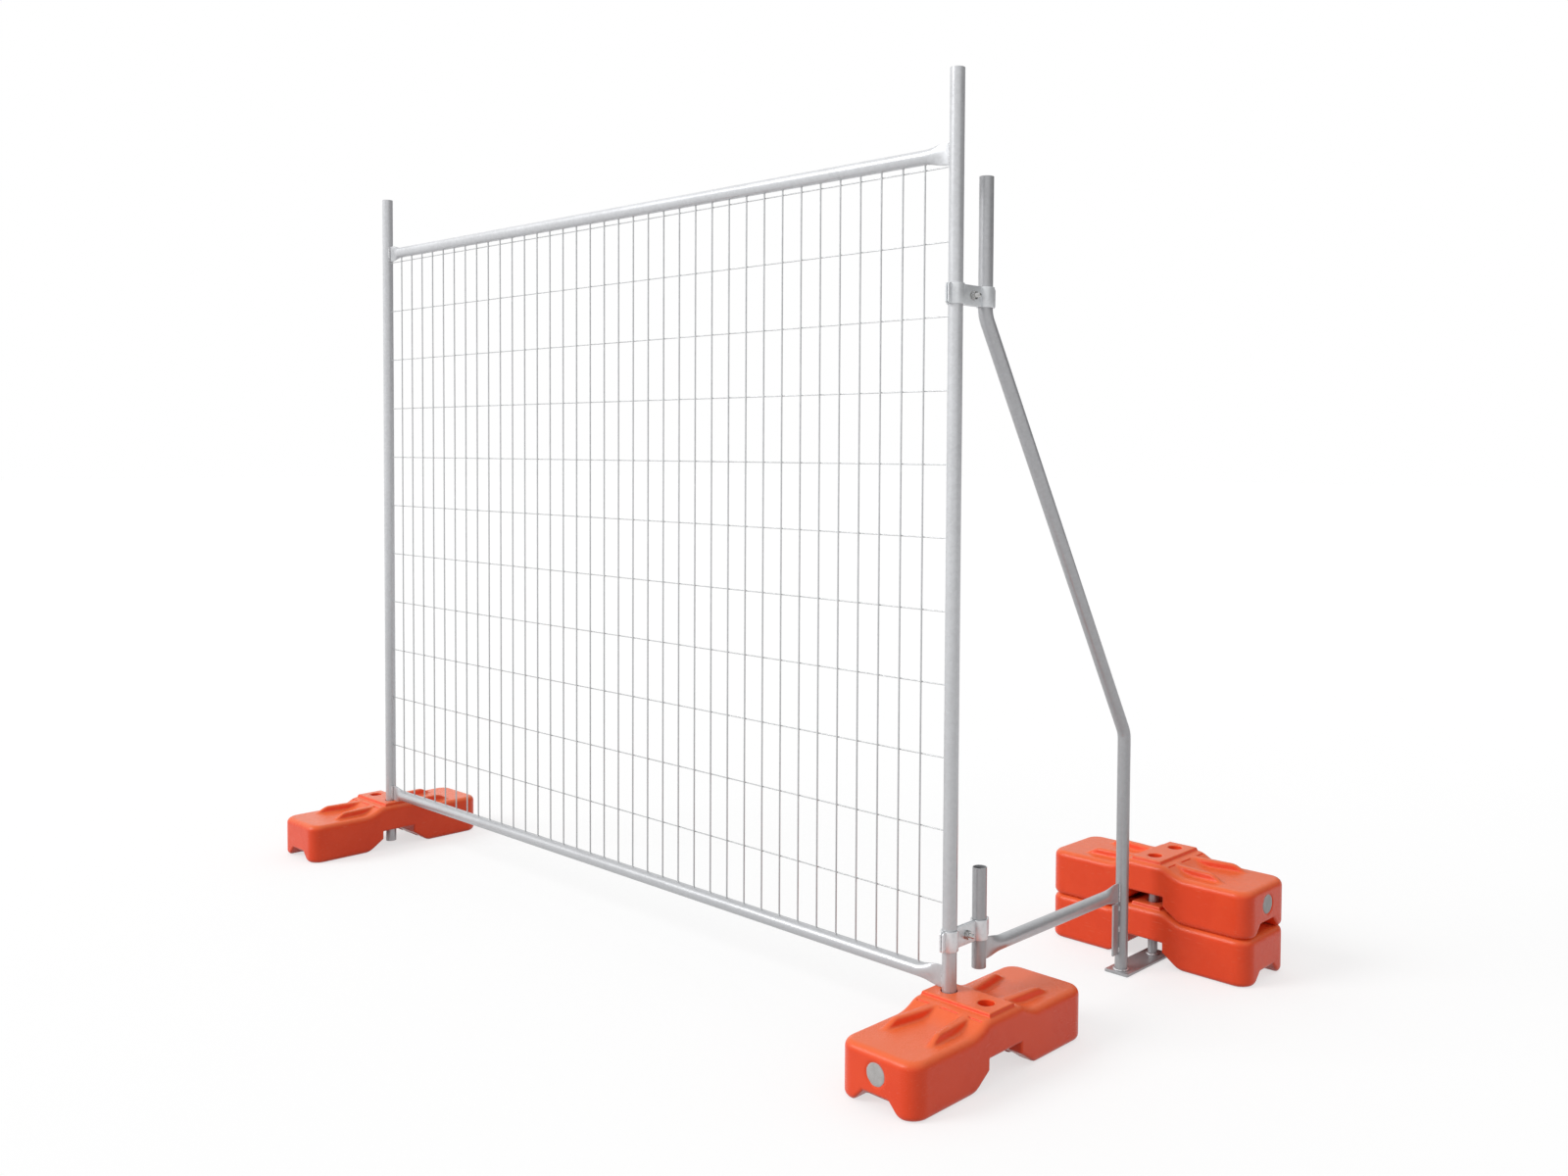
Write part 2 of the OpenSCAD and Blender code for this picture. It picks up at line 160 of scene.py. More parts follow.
def set_finish(finish, sockets, height=None, relief=0.0):
    """Feeds the shader's sockets, and the surface relief in metres from a height of 0 to 1."""
    shade = Shade(finish.node_tree)
    shader = finish.node_tree.nodes["Principled BSDF"]
    for name, value in sockets.items():
        shade.feed(shader.inputs[name], value)
    if height is not None:
        bump = shade.node("ShaderNodeBump", {}, {"Strength": 1.0, "Distance": relief, "Height": height})
        shade.feed(shader.inputs["Normal"], bump)
    return finish


FLOOR_HALF = 60.0
FLOOR_COLOUR = (0.36, 0.36, 0.36)
FLOOR_PATCHY = (0.35, 0.35, 0.35)
FLOOR_PATCH_SCALE = 0.8
FLOOR_WHITE = 0.65
floor_finish, on_floor = new_finish("pale_floor")
plain, mirrored = kinds_of_ray(on_floor)
set_finish(
    floor_finish,
    {
        "Base Color": on_floor.noise(FLOOR_PATCH_SCALE).between(FLOOR_COLOUR, FLOOR_PATCHY),
        "Roughness": 0.9,
        "Specular IOR Level": 0.2,
        "Emission Color": (plain + mirrored).between(BLACK, WHITE),
        "Emission Strength": FLOOR_WHITE,
    },
)
floor_mesh = bpy.data.meshes.new("floor")
floor_corners = [(x * FLOOR_HALF, y * FLOOR_HALF, 0.0) for x, y in ((-1, -1), (1, -1), (1, 1), (-1, 1))]
floor_mesh.from_pydata(floor_corners, [], [(0, 1, 2, 3)])
floor_mesh.materials.append(floor_finish)
floor = bpy.data.objects.new("floor", floor_mesh)
scene.collection.objects.link(floor)

LAMP_SPREAD = math.radians(28.0)
LAMP_STRENGTH = 1.6
LAMP_AWAY = 6.0
lamp_data = bpy.data.lights.new("soft_lamp", "SUN")
lamp_data.angle = LAMP_SPREAD
lamp_data.energy = LAMP_STRENGTH
lamp = bpy.data.objects.new("soft_lamp", lamp_data)
lamp.location = LAMP_SIDE * LAMP_AWAY
lamp.rotation_mode = "QUATERNION"
lamp.rotation_quaternion = LAMP_SIDE.to_track_quat("Z", "Y")
scene.collection.objects.link(lamp)


# Camera
# At the height of a standing person's chest, off the right end of the panel, looking along it
# with a moderate wide lens. The picture is cut a little to the left of and below the lens's axis.
CAMERA_PLACE = Vector((2.979, -2.640, 1.292))
CAMERA_HEADING = math.radians(42.5)
CAMERA_DOWN = math.radians(2.14)
CAMERA_ROLL = math.radians(0.41)
PICTURE_W = 1600
LENS_PIXELS = 1423.8
LENS_AXIS = (889.18, 516.37)
PICTURE_MIDDLE = (800.0, 600.0)
SENSOR_W = 36.0

camera_data = bpy.data.cameras.new("camera")
camera_data.sensor_width = SENSOR_W
camera_data.lens = LENS_PIXELS / PICTURE_W * SENSOR_W
camera_data.shift_x = (PICTURE_MIDDLE[0] - LENS_AXIS[0]) / PICTURE_W
camera_data.shift_y = (LENS_AXIS[1] - PICTURE_MIDDLE[1]) / PICTURE_W
ahead = Vector(
    (
        -math.sin(CAMERA_HEADING) * math.cos(CAMERA_DOWN),
        math.cos(CAMERA_HEADING) * math.cos(CAMERA_DOWN),
        -math.sin(CAMERA_DOWN),
    )
)
camera_roll = Matrix.Rotation(CAMERA_ROLL, 3, "Z").to_quaternion()
camera = bpy.data.objects.new("camera", camera_data)
camera.rotation_mode = "QUATERNION"
camera.location = CAMERA_PLACE
camera.rotation_quaternion = ahead.to_track_quat("-Z", "Y") @ camera_roll
scene.collection.objects.link(camera)
scene.camera = camera


# Posts
# Two round steel tubes, cut square and hot-dip galvanised after welding. They stand in the feet,
# open at both ends, with the cut edges softened by the zinc.
POST_WALL = 0.002
CUT_EDGE = 0.0005
ROUND = 56
SHARP = 35.0


def circle(radius, z, count=ROUND):
    """Points of a level circle round the Z axis. The radius may differ from point to point."""
    turn = np.arange(count) * 2 * math.pi / count
    return np.stack([radius * np.cos(turn), radius * np.sin(turn), np.full(count, z)], axis=1)


def loft(rings, loop=False):
    """Vertices and faces of a skin over rings of points, closed end to end or with capped ends."""
    rings = np.asarray(rings, float)
    count, size = rings.shape[:2]
    faces = []
    for i in range(count if loop else count - 1):
        near, far = i * size, (i + 1) % count * size
        for j in range(size):
            k = (j + 1) % size
            faces.append((near + j, near + k, far + k, far + j))
    if not loop:
        faces.append(tuple(range(size))[::-1])
        faces.append(tuple((count - 1) * size + j for j in range(size)))
    return rings.reshape(-1, 3), faces


def joined(parts):
    """Several sets of vertices and faces as one."""
    vertices, faces, first = [], [], 0
    for points, corners in parts:
        vertices.append(points)
        faces += [tuple(first + c for c in face) for face in corners]
        first += len(points)
    return np.concatenate(vertices), faces


def moved(shape, matrix):
    """A copy of vertices and faces, turned and moved by a matrix."""
    points, faces = shape
    turned = np.asarray(points) @ np.array(matrix.to_3x3()).T + np.array(matrix.translation)
    return turned, faces


def standing(x, y, z=0.0, turn=0.0):
    """The matrix of a place, turned about the vertical."""
    return Matrix.Translation((x, y, z)) @ Matrix.Rotation(turn, 4, "Z")


def new_mesh(name, points, faces, finish):
    """A smooth mesh whose faces all look outwards."""
    mesh = bpy.data.meshes.new(name)
    mesh.from_pydata([tuple(p) for p in points], [], faces)
    work = bmesh.new()
    work.from_mesh(mesh)
    bmesh.ops.recalc_face_normals(work, faces=work.faces)
    work.to_mesh(mesh)
    work.free()
    mesh.shade_smooth()
    mesh.materials.append(finish)
    return mesh


def add_piece(name, shape, finish, body, stands_for, sharp=SHARP):
    """Makes one piece from vertices and faces, in its place, and ties it to its CAD body."""
    mesh = new_mesh(name, *shape, finish)
    mesh.set_sharp_from_angle(angle=math.radians(sharp))
    piece = bpy.data.objects.new(name, mesh)
    scene.collection.objects.link(piece)
    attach(piece, body)
    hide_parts(*stands_for)
    return piece


def pipe(radius, wall, low, high, edge=CUT_EDGE):
    """An upright tube round the Z axis, open at both ends, with softened cut edges."""
    inner = radius - wall
    outline = [
        (radius, low + edge), (radius, high - edge), (radius - edge, high), (inner + edge, high),
        (inner, high - edge), (inner, low + edge), (inner + edge, low), (radius - edge, low),
    ]
    return loft([circle(r, z) for r, z in outline], loop=True)


def middle(node):
    """The middle of a CAD node's box."""
    low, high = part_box(node)
    return (low + high) / 2


def upright_tube(node, radius, wall, edge=CUT_EDGE):
    """An open tube where an upright CAD tube stands."""
    low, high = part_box(node)
    axis = middle(node)
    return moved(pipe(radius, wall, low.z, high.z, edge), standing(axis.x, axis.y))


NOISE_REACH = (0.3, 0.7)
SPANGLE_SCALE = 150.0
CLOUD_SCALE = 9.0
RUN_SCALE = 60.0
DARK_SHARE = 0.94
LIGHT_SHARE = 1.05
# Painted shade near the ground: at the floor the zinc's grey is mixed this far towards this share of
# itself, and not at all above this height in metres.
GROUND_SHADE_SHARE = 0.5
GROUND_SHADE_MOST = 0.55
GROUND_SHADE_TOP = 1.5
ZINC_RELIEF = 0.00008


def galvanised(name, grey, streaks, ground_shade=GROUND_SHADE_MOST):
    """Zinc with faint spangle, cloudy patches and runs along an axis; painted shade near the ground."""
    finish, place = new_finish(name)
    spangle = place.node(
        "ShaderNodeTexVoronoi", {"feature": "F1"}, {"Vector": place, "Scale": SPANGLE_SCALE}, "Color"
    )
    flake = spangle.node("ShaderNodeSeparateColor", {}, {0: spangle})
    cloud = place.noise(CLOUD_SCALE, detail=4.0)
    run = place.stretched(*streaks).noise(RUN_SCALE, detail=2.0)
    tone = flake * 0.3 + cloud * 0.4 + run * 0.3
    dark, light, ground_shaded = (
        [channel * share for channel in grey] for share in (DARK_SHARE, LIGHT_SHARE, GROUND_SHADE_SHARE)
    )
    # Painted shade: the zinc darkens towards the ground, standing in for the dark ground it mirrors.
    above_ground = place.node("ShaderNodeSeparateXYZ", {}, {0: place}, "Z")
    zinc = tone.span(0.25, 0.75).between(dark, light)
    set_finish(
        finish,
        {
            "Base Color": zinc.tinted(above_ground.span(0.0, GROUND_SHADE_TOP, ground_shade, 0.0), ground_shaded),
            "Metallic": 0.42,
            "Roughness": cloud.span(*NOISE_REACH, 0.30, 0.37),
        },
        run * 0.6 + cloud * 0.4,
        ZINC_RELIEF,
    )
    return finish


TUBE_GREY = (0.70, 0.71, 0.73)
ALONG_Z = (1.0, 1.0, 0.06)
post_finish = galvanised("galvanised_post", TUBE_GREY, ALONG_Z)
for post in ("left_post", "right_post"):
    low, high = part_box(post)
    post_radius = (high.x - low.x) / 2
    add_piece(
        f"{post}_tube",
        upright_tube(post, post_radius, POST_WALL),
        post_finish,
        "panel",
        [post],
    )
right_post = middle("right_post")


# Rails
# Two more lengths of the posts' tube, each end pressed flat and upright in a fishtail, so that it
# can be welded along the post. The round part goes over into the flat part without a crease.
FLAT_THICK = 0.004
FLARE = 0.064
FLAT = 0.008
FLARE_RINGS = 18


def stadium(thick, tall, count=ROUND):
    """Points round a flat upright oval with straight sides, from the middle of one side."""
    end_radius = thick / 2
    straight = tall - thick
    bow = math.pi * end_radius
    around = 2 * (straight + bow)
    points = []
    for i in range(count):
        s = (i / count * around + straight / 2) % around
        half, s = divmod(s, straight + bow)
        flip = -1.0 if half else 1.0
        if s < straight:
            points.append((flip * end_radius, flip * (s - straight / 2)))
        else:
            turn = (s - straight) / end_radius
            points.append(
                (flip * end_radius * math.cos(turn), flip * (straight / 2 + end_radius * math.sin(turn)))
            )
    return np.array(points)


def fishtail_rail(length, tall):
    """A rail along X, round in the middle and pressed flat at both ends."""
    half = length / 2
    round_half = half - FLARE - FLAT
    steps = np.linspace(0.0, 1.0, FLARE_RINGS)
    stations = [(-half, 1.0)]
    stations += [(-round_half - FLARE * s, s) for s in steps[::-1]]
    stations += [(round_half + FLARE * s, s) for s in steps]
    stations += [(half, 1.0)]
    tube_end = circle(post_radius, 0.0)[:, :2]
    flat_end = stadium(FLAT_THICK, tall)
    rings = []
    for x, share in stations:
        eased = share * share * (3 - 2 * share)
        section = tube_end * (1 - eased) + flat_end * eased
        rings.append(np.column_stack([np.full(len(section), x), section]))
    return loft(rings)


ALONG_X = (0.06, 1.0, 1.0)
rail_finish = galvanised("galvanised_rail", TUBE_GREY, ALONG_X)
for rail in ("top_rail", "bottom_rail"):
    low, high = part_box(rail)
    add_piece(
        f"{rail}_tube",
        moved(fishtail_rail(high.x - low.x, high.z - low.z), standing(*middle(rail))),
        rail_finish,
        "panel",
        [rail],
    )


# Frame welds
# Hand-laid beads in the corners between the flat rail ends and the posts, on both sides of each.
# The ripples of the weld still show through the zinc.
BEAD_RADIUS = 0.0032
BEAD_PITCH = 0.0032
BEAD_STEPS = 4
BEAD_RIPPLE = 0.13
BEAD_ROUND = 10
BEAD_TIP = 0.04
BEAD_SHARP = 60.0
BEAD_OFF = BEAD_RADIUS * 0.35
BEAD_OUT = BEAD_RADIUS * 0.2
BEAD_SHORT = BEAD_RADIUS * 0.5
WELD_SCALE = 220.0
WELD_DARK = (0.40, 0.40, 0.41)
WELD_PALE = (0.62, 0.62, 0.63)
WELD_RELIEF = 0.0006


def resampled(path, step, loop=False):
    """Points at even steps along a path."""
    path = np.asarray(path, float)
    if loop:
        path = np.concatenate([path, path[:1]])
    lengths = np.concatenate([[0.0], np.cumsum(np.linalg.norm(np.diff(path, axis=0), axis=1))])
    count = max(3, int(round(lengths[-1] / step)))
    at = np.linspace(0.0, lengths[-1], count + 1)
    if loop:
        at = at[:-1]
    return np.stack([np.interp(at, lengths, path[:, k]) for k in range(3)], axis=1)


def headings(points, loop=False):
    """Unit directions along a row of points."""
    if loop:
        along = np.roll(points, -1, axis=0) - np.roll(points, 1, axis=0)
    else:
        along = np.gradient(points, axis=0)
    return along / np.linalg.norm(along, axis=1, keepdims=True)


def bead(path, radius=BEAD_RADIUS, loop=False):
    """A rippled weld bead along a path, rounded off at its ends."""
    step = BEAD_PITCH / BEAD_STEPS
    points = resampled(path, step, loop)
    along = headings(points, loop)
    order = np.arange(len(points))
    swell = 1 + BEAD_RIPPLE * np.cos(order * 2 * math.pi / BEAD_STEPS)
    if not loop:
        from_end = np.clip(np.minimum(order, order[::-1]) * step / radius, BEAD_TIP, 1.0)
        swell *= np.sqrt(np.clip(1 - (1 - from_end) ** 2, 0.0, 1.0))
    mostly_x = np.abs(along[:, :1]) >= 0.7
    helper = np.where(mostly_x, [[0.0, 1.0, 0.0]], [[1.0, 0.0, 0.0]])
    across = np.cross(along, helper)
    across /= np.linalg.norm(across, axis=1, keepdims=True)
    upwards = np.cross(across, along)
    flat = circle(1.0, 0.0, BEAD_ROUND)
    rings = points[:, None] + radius * swell[:, None, None] * (
        flat[None, :, :1] * across[:, None] + flat[None, :, 1:2] * upwards[:, None]
    )
    return loft(rings, loop)


def corner_bead(tube_radius, tall):
    """Beads up both sides of a flat rail end that meets an upright tube on its +X side."""
    beside = FLAT_THICK / 2 + BEAD_OFF
    out = math.sqrt(tube_radius**2 - beside**2) + BEAD_OUT
    reach = tall / 2 - BEAD_SHORT
    return joined([bead([(out, side, -reach), (out, side, reach)]) for side in (-beside, beside)])


weld_finish, on_weld = new_finish("galvanised_weld")
weld_cloud = on_weld.noise(WELD_SCALE)
set_finish(
    weld_finish,
    {
        "Base Color": weld_cloud.span(*NOISE_REACH).between(WELD_DARK, WELD_PALE),
        "Metallic": 0.8,
        "Roughness": weld_cloud.span(*NOISE_REACH, 0.32, 0.52),
    },
    weld_cloud,
    WELD_RELIEF,
)
beads = []
for rail in ("top_rail", "bottom_rail"):
    low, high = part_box(rail)
    for post, turn in (("left_post", 0.0), ("right_post", math.pi)):
        axis = middle(post)
        stand = standing(axis.x, axis.y, (low.z + high.z) / 2, turn)
        beads.append(moved(corner_bead(post_radius, high.z - low.z), stand))
add_piece("frame_weld_beads", joined(beads), weld_finish, "panel", ["frame_welds"], BEAD_SHARP)


# Wire mesh
# Drawn steel wires, resistance-welded where they cross and dipped with the frame. The uprights
# butt on the rails, and the thinner cross wires run behind them from post to post.
UPRIGHT_PITCH = 0.0627
CROSS_PITCH = 0.1568
WIRE_SIDES = 12
WIRE_SHARP = 50.0
WIRE_GREY = (0.68, 0.69, 0.70)
WIRE_RUNS = (0.3, 0.3, 0.3)
NUGGET = 0.0021
BUTT_NUGGET = NUGGET * 1.4
POST_NUGGET = NUGGET * 1.5
NUGGET_RINGS = 5
NUGGET_SIDES = 8
NUGGET_FLAT = 0.8
NUGGET_TIP = 0.2
wire_finish = galvanised("galvanised_wire", WIRE_GREY, WIRE_RUNS)


def rod(start, end, radius):
    """A straight round wire with flat ends."""
    start, end = Vector(start), Vector(end)
    section = [circle(radius, z, WIRE_SIDES) for z in (0.0, (end - start).length)]
    turn = (end - start).to_track_quat("Z", "Y").to_matrix().to_4x4()
    return moved(loft(section), Matrix.Translation(start) @ turn)


def nugget(place, radius):
    """A small flattened drop of weld."""
    rings = []
    for level in np.linspace(-1.0, 1.0, NUGGET_RINGS):
        width = max(math.sqrt(1.0 - level * level), NUGGET_TIP)
        rings.append(circle(width * radius, level * radius * NUGGET_FLAT, NUGGET_SIDES))
    return moved(loft(rings), Matrix.Translation(place))


low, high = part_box("upright_wires")
upright_radius = (high.y - low.y) / 2
upright_count = round((high.x - low.x - 2 * upright_radius) / UPRIGHT_PITCH) + 1
upright_places = [low.x + upright_radius + i * UPRIGHT_PITCH for i in range(upright_count)]
upright_y = (low.y + high.y) / 2
uprights = [rod((x, upright_y, low.z), (x, upright_y, high.z), upright_radius) for x in upright_places]
butts = [nugget((x, upright_y, z), BUTT_NUGGET) for x in upright_places for z in (low.z, high.z)]
add_piece(
    "mesh_uprights",
    joined(uprights + butts),
    wire_finish,
    "panel",
    ["upright_wires"],
    WIRE_SHARP,
)
low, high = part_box("cross_wires")
cross_radius = (high.y - low.y) / 2
cross_count = round((high.z - low.z - 2 * cross_radius) / CROSS_PITCH) + 1
cross_places = [low.z + cross_radius + i * CROSS_PITCH for i in range(cross_count)]
cross_y = (low.y + high.y) / 2
crosses = [rod((low.x, cross_y, z), (high.x, cross_y, z), cross_radius) for z in cross_places]
spots = [nugget((x, cross_y, z), POST_NUGGET) for x in (low.x, high.x) for z in cross_places]
spots += [nugget((x, low.y, z), NUGGET) for x in upright_places for z in cross_places]
add_piece(
    "mesh_cross_wires",
    joined(crosses + spots),
    wire_finish,
    "panel",
    ["cross_wires"],
    WIRE_SHARP,
)


# Moulded blocks
# Orange polyethylene, blow-moulded in one piece and filled with concrete through a hole in one end.
# A raised pad with two post holes crosses the middle, the wings carry pairs of raised fins that key
# into the block above, and the underside has an arch and a hand notch in each end.
MM = 0.001

# Sizes in millimetres, from the middle of the block's underside
BLOCK_HALF_L = 290.0
BLOCK_HALF_W = 104.5
CORNER = 40.0
EDGE = 17.0
FOOT_EDGE = 13.0
FOOT_GAP = 0.4
WING_Z = 117.0
WING_BLEND = 14.0
LEDGE_Z = 138.0
LEDGE_HALF = 56.0
LEDGE_BLEND = 7.0
SLOPE_OUT = 93.0
PAD_HALF_X = 40.0
PAD_HALF_Y = 91.0
PAD_Z = 146.0
PAD_DRAFT = 0.3
PAD_EDGE = 2.6
PAD_ROOT = 20.0
PAD_FILLET = 2.0
HOLE_RADIUS = 18.0
HOLE_Y = 50.0
HOLE_EDGE = 2.0
ARCH = ((0.0, -20.0), (134.9, -20.0), (106.0, 0.0), (54.0, 36.0), (54.0, 60.0), (0.0, 60.0))
ARCH_EDGE = 5.0
NOTCH = ((0.0, -20.0), (82.3, -20.0), (63.0, 0.0), (34.0, 30.0), (0.0, 30.0))
NOTCH_DEEP = 45.0
NOTCH_INNER = 4.0
NOTCH_EDGE = 5.0
FIN_IN = np.array([58.0, 44.0])
FIN_OUT = np.array([200.0, 61.0])
FIN_HALF = 14.5
FIN_TAPER = 7.0
FIN_TAPER_END = 1.2
FIN_HIGH = 18.0
FIN_ROOT = 9.0
FIN_NOSE = 32.0
FIN_DRAFT = 0.22
FIN_CREST_EDGE = 5.0
FIN_NOSE_EDGE = 4.0
FIN_FILLET = 5.0
FIN_PLAY = 1.5
FIN_LEAD = 18.0
RECESS_EDGE = 2.0
FILL_RADIUS = 24.0
FILL_Z = 72.0
FILL_DEEP = 3.0
FILL_PLAY = 0.3
FILL_EDGE = 1.2
GROOVE_X = 61.5
GROOVE_HALF = 1.6
GROOVE_DEEP = 3.0
GROOVE_EDGE = 0.5
GROOVE_DASHES = ((0.0, 22.0), (53.0, 87.0))


def rounded_corner(first, second, radius):
    """The inside of both forms, with a round edge of that radius where they meet."""
    out = np.hypot(np.maximum(first + radius, 0.0), np.maximum(second + radius, 0.0))
    return np.minimum(np.maximum(first, second), -radius) + out


def blended(first, second, width):
    """The lesser of two values, with a soft change over that width."""
    share = np.clip(0.5 + 0.5 * (second - first) / width, 0.0, 1.0)
    return second + (first - second) * share - width * share * (1 - share)


def outline_distance(u, v, corners):
    """Signed distance to the right half of an outline that is the same on both sides of u = 0."""
    u = np.abs(u)
    nearest = np.full(u.shape, np.inf)
    inside = np.zeros(u.shape, bool)
    for (u0, v0), (u1, v1) in zip(corners, corners[1:] + corners[:1]):
        du, dv = u1 - u0, v1 - v0
        if u0 > 0 or u1 > 0:
            share = np.clip(((u - u0) * du + (v - v0) * dv) / (du**2 + dv**2), 0.0, 1.0)
            nearest = np.minimum(nearest, np.hypot(u - u0 - share * du, v - v0 - share * dv))
        if v0 != v1:
            level = (v0 <= v) != (v1 <= v)
            inside ^= level & (u < u0 + (v - v0) * du / dv)
    return np.where(inside, -nearest, nearest)


def top_height(x):
    """Height of the block's upper side: ledge, slope and wing with soft changes."""
    slope = LEDGE_Z - (x - LEDGE_HALF) * (LEDGE_Z - WING_Z) / (SLOPE_OUT - LEDGE_HALF)
    ledge = blended(np.full_like(x, LEDGE_Z), slope, LEDGE_BLEND)
    return -blended(-ledge, np.full_like(x, -WING_Z), WING_BLEND)


def fin_frame(x, y):
    """Distances along and across the axis of the fin in this quarter of the block."""
    along = FIN_OUT - FIN_IN
    along = along / np.linalg.norm(along)
    u = (x - FIN_IN[0]) * along[0] + (y - FIN_IN[1]) * along[1]
    v = (y - FIN_IN[1]) * along[0] - (x - FIN_IN[0]) * along[1]
    return u, np.abs(v)


def fin_distance(x, y, z):
    """Signed distance to a fin: upright sides that draw in towards a sloping nose, and a level crest."""
    u, v = fin_frame(x, y)
    length = np.linalg.norm(FIN_OUT - FIN_IN)
    rise = z - WING_Z
    side = v - FIN_HALF + FIN_TAPER * np.clip(u / length, 0.0, FIN_TAPER_END) ** 2
    side = (side + rise * FIN_DRAFT) / math.hypot(1.0, FIN_DRAFT)
    nose = ((u - length) * FIN_HIGH + rise * FIN_NOSE) / math.hypot(FIN_HIGH, FIN_NOSE)
    crested = rounded_corner(side, rise - FIN_HIGH, FIN_CREST_EDGE)
    body = rounded_corner(crested, nose, FIN_NOSE_EDGE)
    return np.maximum(body, np.maximum(-u, WING_Z - FIN_ROOT - z))


def fin_recess(x, y, z):
    """Signed distance to the pocket under the block that takes a fin of the block below."""
    u, v = fin_frame(x, y)
    length = np.linalg.norm(FIN_OUT - FIN_IN) + FIN_PLAY
    ends = np.maximum(u - length, -u - FIN_LEAD)
    return np.maximum(np.maximum(v - FIN_HALF - FIN_PLAY, ends), z - FIN_HIGH - FIN_PLAY)


def block_distance(points):
    """Signed distance from points to the block's surface, negative inside."""
    x, y, z = np.abs(points[..., 0]), np.abs(points[..., 1]), points[..., 2]
    top = top_height(x)
    tilt = top_height(x + 0.5) - top_height(x - 0.5)
    upper = (z - top) / np.sqrt(1 + tilt**2)
    corner_x, corner_y = x - BLOCK_HALF_L + CORNER, y - BLOCK_HALF_W + CORNER
    plan = np.hypot(np.maximum(corner_x, 0.0), np.maximum(corner_y, 0.0))
    plan += np.minimum(np.maximum(corner_x, corner_y), 0.0) - CORNER
    form = rounded_corner(upper, plan, EDGE)
    form = rounded_corner(form, FOOT_GAP - z, FOOT_EDGE)
    form = blended(form, fin_distance(x, y, z), FIN_FILLET)
    pad_side = np.maximum(x - PAD_HALF_X, y - PAD_HALF_Y) + (z - PAD_Z) * PAD_DRAFT
    pad_side /= math.hypot(1.0, PAD_DRAFT)
    pad = np.maximum(rounded_corner(pad_side, z - PAD_Z, PAD_EDGE), LEDGE_Z - PAD_ROOT - z)
    form = blended(form, pad, PAD_FILLET)
    form = rounded_corner(form, -outline_distance(x, z, ARCH), ARCH_EDGE)
    notch = rounded_corner(outline_distance(y, z, NOTCH), BLOCK_HALF_L - NOTCH_DEEP - x, NOTCH_INNER)
    form = rounded_corner(form, -notch, NOTCH_EDGE)
    form = rounded_corner(form, -fin_recess(x, y, z), RECESS_EDGE)
    form = rounded_corner(form, HOLE_RADIUS - np.hypot(x, y - HOLE_Y), HOLE_EDGE)
    fill_side = np.hypot(y, z - FILL_Z) - FILL_RADIUS - FILL_PLAY
    fill_hole = np.maximum(fill_side, points[..., 0] + BLOCK_HALF_L - FILL_DEEP)
    form = rounded_corner(form, -fill_hole, FILL_EDGE)
    dashes = [np.abs(y - (start + end) / 2) - (end - start) / 2 for start, end in GROOVE_DASHES]
    groove = np.maximum(np.abs(x - GROOVE_X) - GROOVE_HALF, np.minimum(*dashes))
    return rounded_corner(form, -np.maximum(groove, top - GROOVE_DEEP - z), GROOVE_EDGE)


NET_STEP = 3.6
NET_LEAST = 0.3
NET_MARGIN = 4.0
NET_PULLS = 4
NET_MOST_PULL = 1.5
NET_LEAST_SLOPE = 0.25
FINE_GROOVE = (GROOVE_X, 3.6, 0.6)
FINE_PAD_X = (PAD_HALF_X, 4.8, 1.2)
FINE_PAD_Y = (PAD_HALF_Y, 3.6, 1.2)
FINE_PAD_TOP = (PAD_Z - 2.0, 5.0, 1.0)


def lattice(low, high, fine):
    """Coordinates at about even steps, with finer steps near the places listed as (at, half, step)."""
    low, high = low - NET_MARGIN, high + NET_MARGIN
    marks = [np.linspace(low, high, int((high - low) / NET_STEP) + 1)]
    for at, half, small in fine:
        for sign in (-1.0, 1.0):
            marks.append(sign * at + np.arange(-half, half + small / 2, small))
    marks = np.unique(np.round(np.concatenate(marks), 3))
    marks = marks[(marks >= low) & (marks <= high)]
    keep = np.concatenate([[True], np.diff(marks) > NET_LEAST])
    return marks[keep]


def surface_net(distance, axes):
    """Quads over the surface where a distance is 0, one vertex in each crossed cell of a lattice."""
    grid = np.stack(np.meshgrid(*axes, indexing="ij"), axis=-1)
    values = distance(grid)
    cells = tuple(n - 1 for n in values.shape)

    def corner(of, shift):
        return of[tuple(slice(s, s + n) for s, n in zip(shift, cells))]

    shifts = list(itertools.product((0, 1), repeat=3))
    total = np.zeros(cells + (3,))
    hits = np.zeros(cells)
    for first, second in itertools.combinations(shifts, 2):
        if sum(a != b for a, b in zip(first, second)) == 1:
            a, b = corner(values, first), corner(values, second)
            crossed = (a < 0) != (b < 0)
            share = np.where(crossed, a / np.where(crossed, a - b, 1.0), 0.0)[..., None]
            point = corner(grid, first) * (1 - share) + corner(grid, second) * share
            total += np.where(crossed[..., None], point, 0.0)
            hits += crossed
    filled = hits > 0
    number = np.full(cells, -1)
    number[filled] = np.arange(filled.sum())
    vertices = total[filled] / hits[filled][:, None]
    quads = []
    inside = values < 0
    for axis in range(3):
        side, other = [k for k in range(3) if k != axis]
        inner = [slice(1, n - 1) for n in values.shape]
        inner[axis] = slice(0, values.shape[axis] - 1)
        ahead_one = list(inner)
        ahead_one[axis] = slice(1, values.shape[axis])
        start = np.argwhere(inside[tuple(inner)] != inside[tuple(ahead_one)])
        start[:, side] += 1
        start[:, other] += 1
        around = []
        for du, dv in ((-1, -1), (0, -1), (0, 0), (-1, 0)):
            cell = start.copy()
            cell[:, side] += du
            cell[:, other] += dv
            around.append(number[tuple(cell.T)])
        quads.append(np.stack(around, axis=1))
    return vertices, np.concatenate(quads)


def steepest(distance, points, reach=0.05):
    """The direction in which a distance grows fastest, and the distance itself."""
    rise = [distance(points + step) - distance(points - step) for step in reach * np.eye(3)]
    return np.stack(rise, axis=1) / (2 * reach), distance(points)


